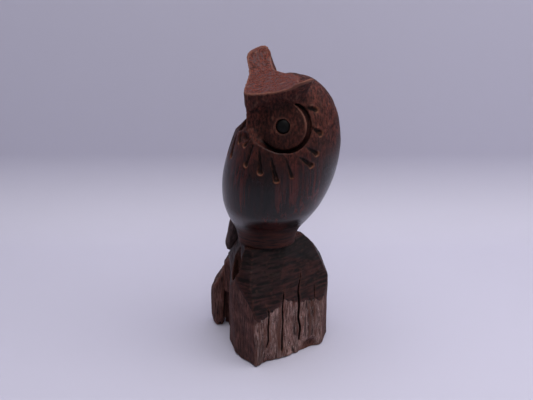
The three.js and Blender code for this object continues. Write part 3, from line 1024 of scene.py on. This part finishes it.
def raw_wood():
    """Knife-cut unpolished wood of the tail, with worn edges lighter as wear with a painted highlight and
    painted shade in its creases.
    """
    material, tree = new_material("raw_wood")
    streaks = pattern(tree, (1.2, 1.2, 25), 0.35, 0.7, 5)
    colour = mix(tree, streaks, (0.030, 0.0180, 0.0180, 1), (0.165, 0.098, 0.092, 1))
    # worn edges: real wear with a painted highlight
    colour = mix(tree, times(tree, mark(tree, "wear_and_highlight"), 0.5), colour, (0.075, 0.042, 0.033, 1))
    # painted shade in creases
    colour = mix(tree, mark(tree, "crevice_shade"), colour, (0.005, 0.004, 0.004, 1))
    finish_material(tree, colour, stretch_value(tree, streaks, 0, 1, 0.65, 0.85), streaks, 0.25)
    return material


def weathered_front(tree, fibres, patches):
    """Grey-brown dry fibres with redder patches and pale specks."""
    specks = pattern(tree, (1.1, 1.1, 2.4), 0.60, 0.68, 3, 0.7)
    front = mix(tree, fibres, (0.105, 0.047, 0.040, 1), (0.86, 0.55, 0.50, 1))
    front = mix(tree, patches, mix(tree, 0.5, front, (0.11, 0.042, 0.033, 1)), front)
    return mix(tree, times(tree, specks, 0.7), front, (0.85, 0.76, 0.74, 1))


def split_side(tree, fibres):
    """Redder, smoother faces beside the weathered front."""
    broad = pattern(tree, (11, 11, 11), 0.44, 0.58, 3, 0.6)
    dark = mix(tree, fibres, (0.019, 0.0070, 0.0066, 1), (0.165, 0.062, 0.050, 1))
    light = mix(tree, fibres, (0.060, 0.020, 0.016, 1), (0.26, 0.110, 0.092, 1))
    return mix(tree, times(tree, broad, 0.8), dark, light)


def chisel_cuts(tree, saw):
    """Dark shoulders; each facet lies between blue-black and red-black."""
    blue = mix(tree, saw, (0.0018, 0.0010, 0.0014, 1), (0.016, 0.0074, 0.0084, 1))
    red = mix(tree, saw, (0.0046, 0.0017, 0.0018, 1), (0.040, 0.0118, 0.0104, 1))
    flecks = pattern(tree, (5, 9, 2.0), 0.56, 0.68, 3, 0.6)
    facet = mix(tree, mark(tree, "tone"), blue, red)
    return mix(tree, times(tree, flecks, 0.45), facet, (0.060, 0.020, 0.015, 1))


def weathered_wood():
    """Grey-brown fibrous front, redder smoother faces beside it and dark chisel-cut shoulders; worn edges
    lighter as wear with a painted highlight, and painted shade in creases.
    """
    material, tree = new_material("weathered_wood")
    front, chisel = mark(tree, "front"), mark(tree, "cut")
    fibres = pattern(tree, (0.8, 0.8, 9), 0.40, 0.62, 5, 0.7)
    patches = pattern(tree, (6, 6, 16), 0.42, 0.60, 4, 0.65)
    saw = pattern(tree, (15, 15, 2.0), 0.40, 0.62, 3, 0.55)
    sides = mix(tree, front, split_side(tree, fibres), weathered_front(tree, fibres, patches))
    shade = times(tree, mark(tree, "shade"), stretch_value(tree, front, 0, 1, 0.45, 0.85))
    sides = mix(tree, shade, sides, (0.010, 0.0042, 0.0034, 1))
    colour = mix(tree, chisel, sides, chisel_cuts(tree, saw))
    # worn edges: real wear with a painted highlight, weaker on the chisel cuts
    edge = times(tree, mark(tree, "wear_and_highlight"), stretch_value(tree, chisel, 0, 1, 0.35, 0.12))
    colour = mix(tree, edge, colour, (0.20, 0.070, 0.045, 1))
    # painted shade in creases
    colour = mix(tree, times(tree, mark(tree, "crevice_shade"), 0.9), colour, (0.003, 0.002, 0.002, 1))
    rough = stretch_value(tree, chisel, 0, 1, 0.75, 0.55)
    shine = stretch_value(tree, chisel, 0, 1, 0.2, 0.18)
    height = mix(tree, chisel, fibres, times(tree, saw, 0.35))
    finish_material(tree, colour, rough, height, 0.35, Specular_IOR_Level=shine)
    return material


def dark_inlay():
    material, tree = new_material("dark_inlay")
    speck = grain(tree, (0.8, 0.8, 0.8), 3)
    colour = mix(tree, speck, (0.0015, 0.0015, 0.0018, 1), (0.005, 0.0045, 0.0045, 1))
    rough = stretch_value(tree, speck, 0.3, 0.7, 0.35, 0.5)
    finish_material(tree, colour, rough, speck, 0.03, Specular_IOR_Level=0.2)
    return material


def dowel_wood():
    material, tree = new_material("dowel_wood")
    streaks = pattern(tree, (0.8, 0.8, 20), 0.35, 0.7, 4)
    colour = mix(tree, streaks, (0.22, 0.13, 0.07, 1), (0.42, 0.28, 0.16, 1))
    finish_material(tree, colour, stretch_value(tree, streaks, 0, 1, 0.6, 0.75), streaks, 0.08)
    return material


def one_sided_paper(colour):
    """Backdrop paper that lets through what is looked at from behind it."""
    material, tree = new_material("paper")
    face = add_node(tree, "BsdfPrincipled", Base_Color=colour, Roughness=0.7)
    clear = add_node(tree, "BsdfTransparent")
    behind = tree.nodes.new("ShaderNodeNewGeometry").outputs["Backfacing"]
    surface = add_node(tree, "MixShader", _0=behind, _1=face.outputs[0], _2=clear.outputs[0])
    add_node(tree, "OutputMaterial", Surface=surface.outputs[0])
    return material


# ---------- The pieces ----------
WOOD = polished_wood()
WEATHERED = weathered_wood()
RAW = raw_wood()
INLAY = dark_inlay()


piece("owl", owl_field, OWL_STEP, "owl_figure", WOOD, owl_marks)
piece("stump", stump_field, STUMP_STEP, "stump_base", WEATHERED, stump_marks)
piece("spur", spur_field, SMALL_STEP, "root_spur", WEATHERED, spur_marks)
piece("tongue_tail", tail_field, SMALL_STEP, "tail", RAW, tail_marks)
for _side, _node in ((1, "pupil_left"), (-1, "pupil_right")):
    piece("eye_" + _node, pupil_field(_side), PUPIL_STEP, _node, INLAY, no_marks)

_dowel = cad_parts["neck_dowel"]
_dowel.data.materials.clear()
_dowel.data.materials.append(dowel_wood())

# ---------- Floor, light and camera ----------
SWEEP = {"near": -3.0, "start": 0.15, "radius": 0.07, "top": 2.2, "half_width": 2.5}    # metres
PAPER = (0.535, 0.525, 0.640, 1)
WARM_WHITE = (1.0, 0.98, 0.97)
VIEW = {"pitch": 26, "distance": 676, "aim": 126.7, "fov": 25}      # degrees and millimetres


def sweep():
    """Pale floor that curves up into a wall behind the object."""
    start, radius = SWEEP["start"], SWEEP["radius"]
    turns = np.linspace(0.08, math.pi / 2, 24)
    bend = [(start + radius * math.sin(a), radius * (1 - math.cos(a))) for a in turns]
    profile = [(SWEEP["near"], 0.0), (start, 0.0)] + bend + [(start + radius, SWEEP["top"])]
    vertices = [(x, y, z) for y, z in profile for x in (-SWEEP["half_width"], SWEEP["half_width"])]
    faces = [(2 * n, 2 * n + 1, 2 * n + 3, 2 * n + 2) for n in range(len(profile) - 1)]
    mesh = bpy.data.meshes.new("sweep")
    mesh.from_pydata(vertices, [], faces)
    mesh.polygons.foreach_set("use_smooth", [True] * len(faces))
    mesh.materials.append(one_sided_paper(PAPER))
    shown = bpy.data.objects.new("sweep", mesh)
    bpy.context.scene.collection.objects.link(shown)


def area_light(name, place, target, size, power, colour):
    """Square lamp; metres and watts."""
    data = bpy.data.lights.new(name, "AREA")
    data.size = size
    data.energy = power
    data.color = colour
    lamp = bpy.data.objects.new(name, data)
    lamp.location = place
    lamp.rotation_euler = (Vector(target) - Vector(place)).to_track_quat("-Z", "Y").to_euler()
    bpy.context.scene.collection.objects.link(lamp)


def world_light(colour, strength):
    world = bpy.data.worlds.new("room")
    world.use_nodes = True
    background = world.node_tree.nodes["Background"]
    background.inputs["Color"].default_value = colour
    background.inputs["Strength"].default_value = strength
    bpy.context.scene.world = world


def photo_camera():
    data = bpy.data.cameras.new("camera")
    data.sensor_fit = "VERTICAL"
    data.sensor_height = 24
    data.lens = data.sensor_height / 2 / math.tan(math.radians(VIEW["fov"] / 2))
    pitch = math.radians(VIEW["pitch"])
    camera = bpy.data.objects.new("camera", data)
    aim = AXIS + (0, 0, VIEW["aim"])
    back = np.array([0, -math.cos(pitch), math.sin(pitch)])
    camera.location = (aim + VIEW["distance"] * back) * MM
    camera.rotation_euler = (math.pi / 2 - pitch, 0, 0)
    bpy.context.scene.collection.objects.link(camera)
    bpy.context.scene.camera = camera


sweep()
area_light("overhead", (0.12, -0.12, 1.1), (0, 0, 0.1), 1.3, 17.5, WARM_WHITE)
area_light("side", (1.2, -0.3, 0.7), (0, 0, 0.12), 0.9, 3, WARM_WHITE)
world_light((0.80, 0.80, 0.92, 1), 0.10)
photo_camera()
bpy.context.scene.view_settings.view_transform = "Standard"
